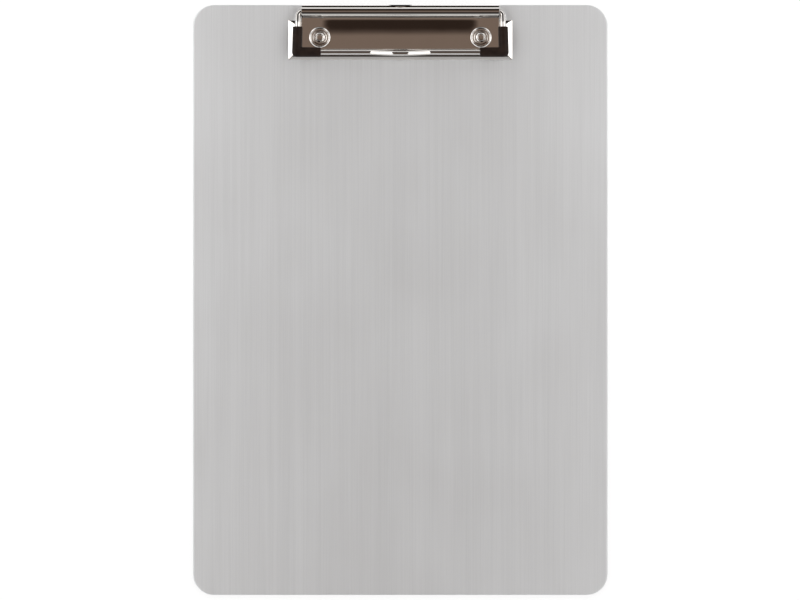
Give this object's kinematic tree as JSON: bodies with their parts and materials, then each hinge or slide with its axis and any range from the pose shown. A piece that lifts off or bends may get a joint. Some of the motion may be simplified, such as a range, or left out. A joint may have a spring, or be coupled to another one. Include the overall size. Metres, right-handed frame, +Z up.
{
  "type": "clipboard",
  "caption": "Flat aluminium clipboard with a low riveted clip: a sprung wire bail with rubber corner grips lifts on a rolled tube to take sheets of paper.",
  "frame": {"origin": "on the board's back face, under the middle of the board", "axes": "+X across the board to the right, +Y along the board towards the clip, +Z up out of the face that carries the paper"},
  "size_m": [0.225, 0.32, 0.0121],
  "materials": {
    "board_aluminium": "fine lengthwise brushed, clear anodised",
    "clip_nickel": "polished nickel plate",
    "rivet_nickel": "polished nickel plate",
    "bush_nylon": "natural nylon",
    "spring_black": "black oiled spring steel",
    "bail_nickel": "polished nickel plate",
    "grip_rubber": "satin black rubber"
  },
  "bodies": {
    "board_body": {"board": "board_aluminium", "clip_plate": "clip_nickel", "rivet_left": "rivet_nickel", "rivet_right": "rivet_nickel", "bush_left": "bush_nylon", "bush_right": "bush_nylon", "torsion_spring": "spring_black"},
    "bail": {"bail_wire": "bail_nickel", "grip_left": "grip_rubber", "grip_right": "grip_rubber"}
  },
  "joints": [
    {"name": "bail_hinge", "type": "hinge", "parent": "board_body", "child": "bail", "pos_m": [0, 0.1565, 0.0049], "axis": [-1, 0, 0], "range_deg": [0, 75], "stiffness_Nm_per_rad": 0.099, "springref_deg": -108.86, "deforming": ["torsion_spring"]}
  ]
}
